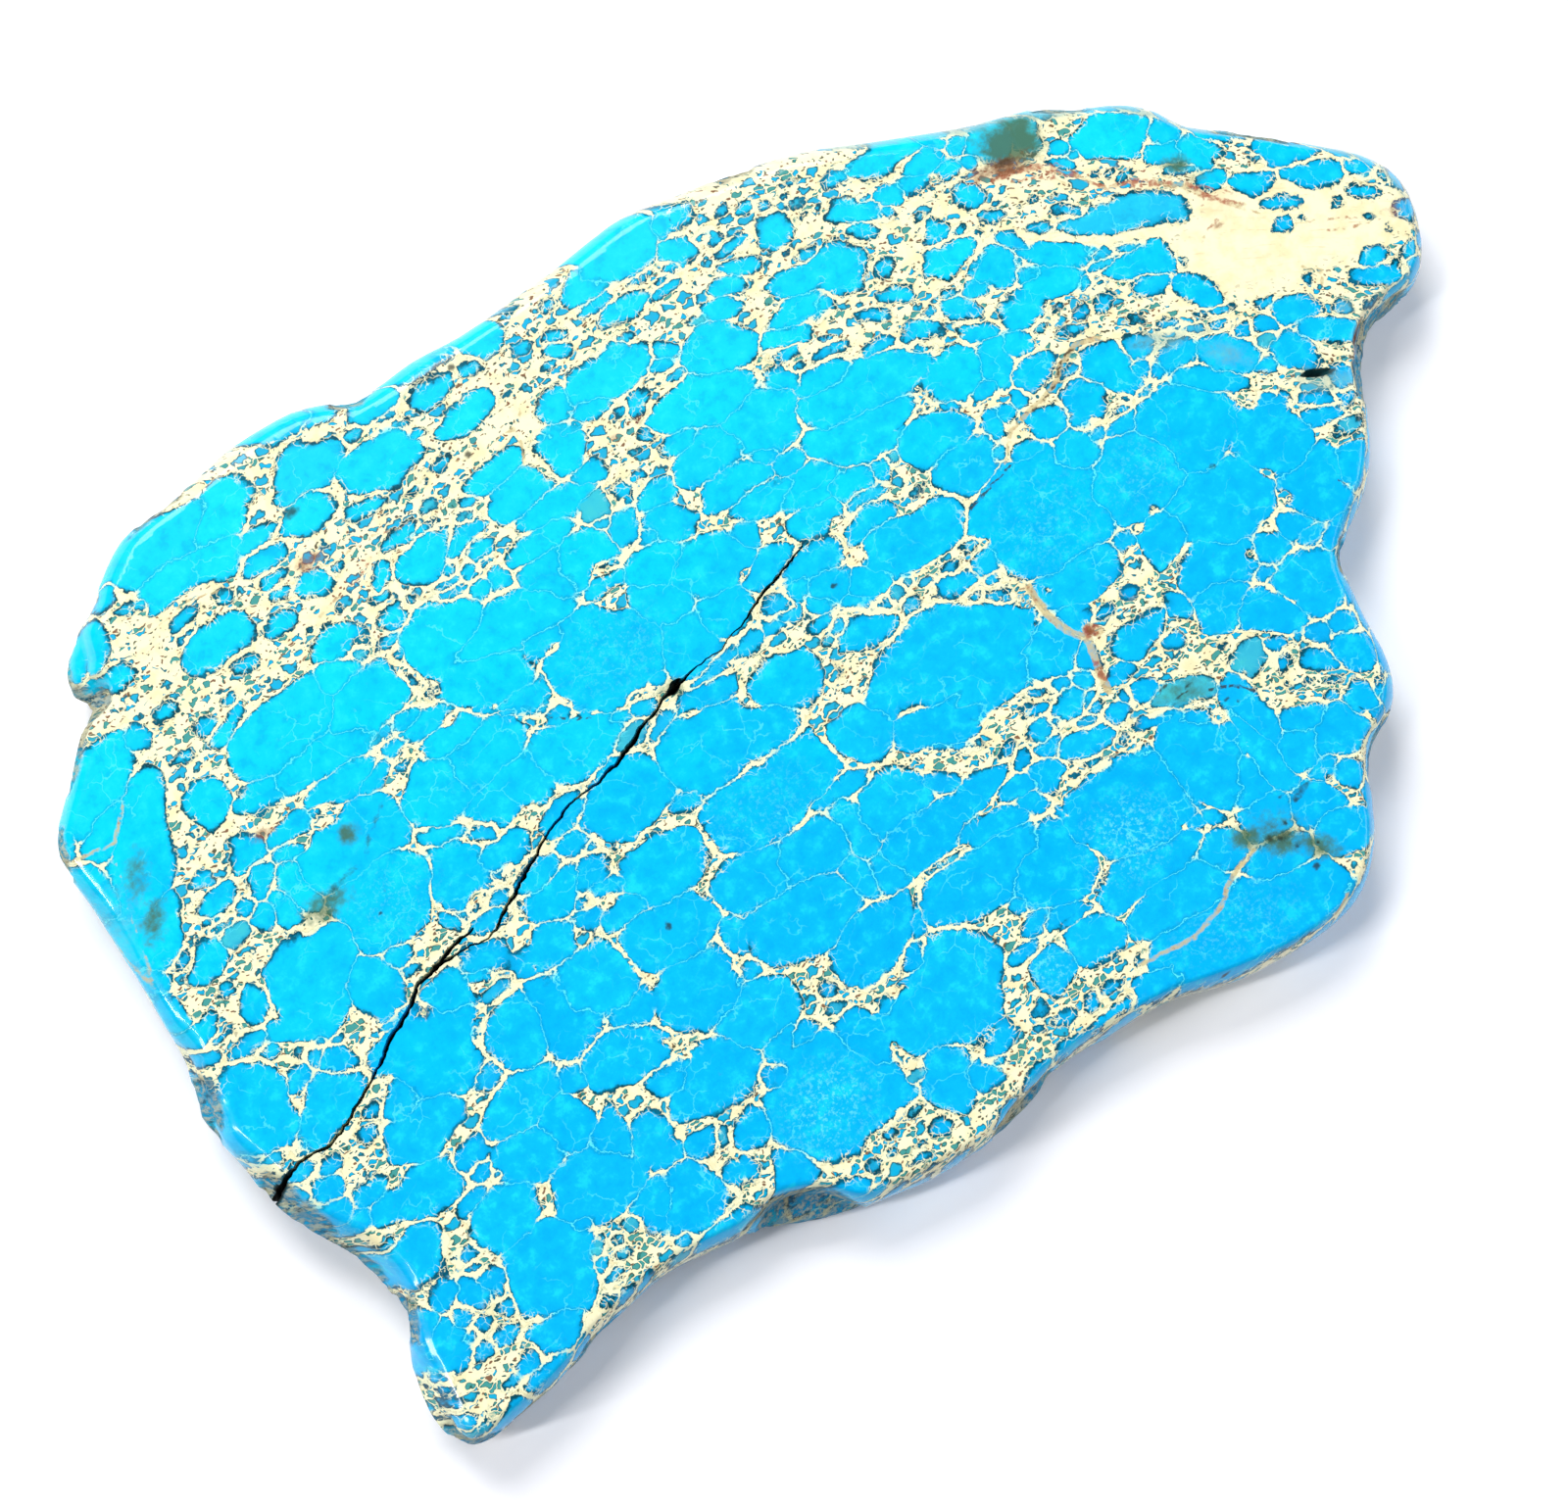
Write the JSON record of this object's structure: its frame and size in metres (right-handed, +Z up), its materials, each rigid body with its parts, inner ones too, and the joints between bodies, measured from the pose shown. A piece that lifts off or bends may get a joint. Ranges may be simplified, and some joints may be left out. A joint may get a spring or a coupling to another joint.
{
  "type": "turquoise slab",
  "caption": "Natural slab of blue turquoise with cream matrix veins, cut and polished flat, with a rounded irregular edge and an open fissure.",
  "frame": {"origin": "middle of the slab's box, on the flat lower face it lies on", "axes": "+Z up through the thickness, +X along the longest extent, +Y across it"},
  "size_m": [0.1594, 0.1068, 0.01],
  "materials": {
    "turquoise": "polished saturated blue nodules in a cream webbed matrix, duller on the broken parts of the edge"
  },
  "bodies": {
    "root": {"turquoise_slab": "turquoise"}
  },
  "joints": []
}
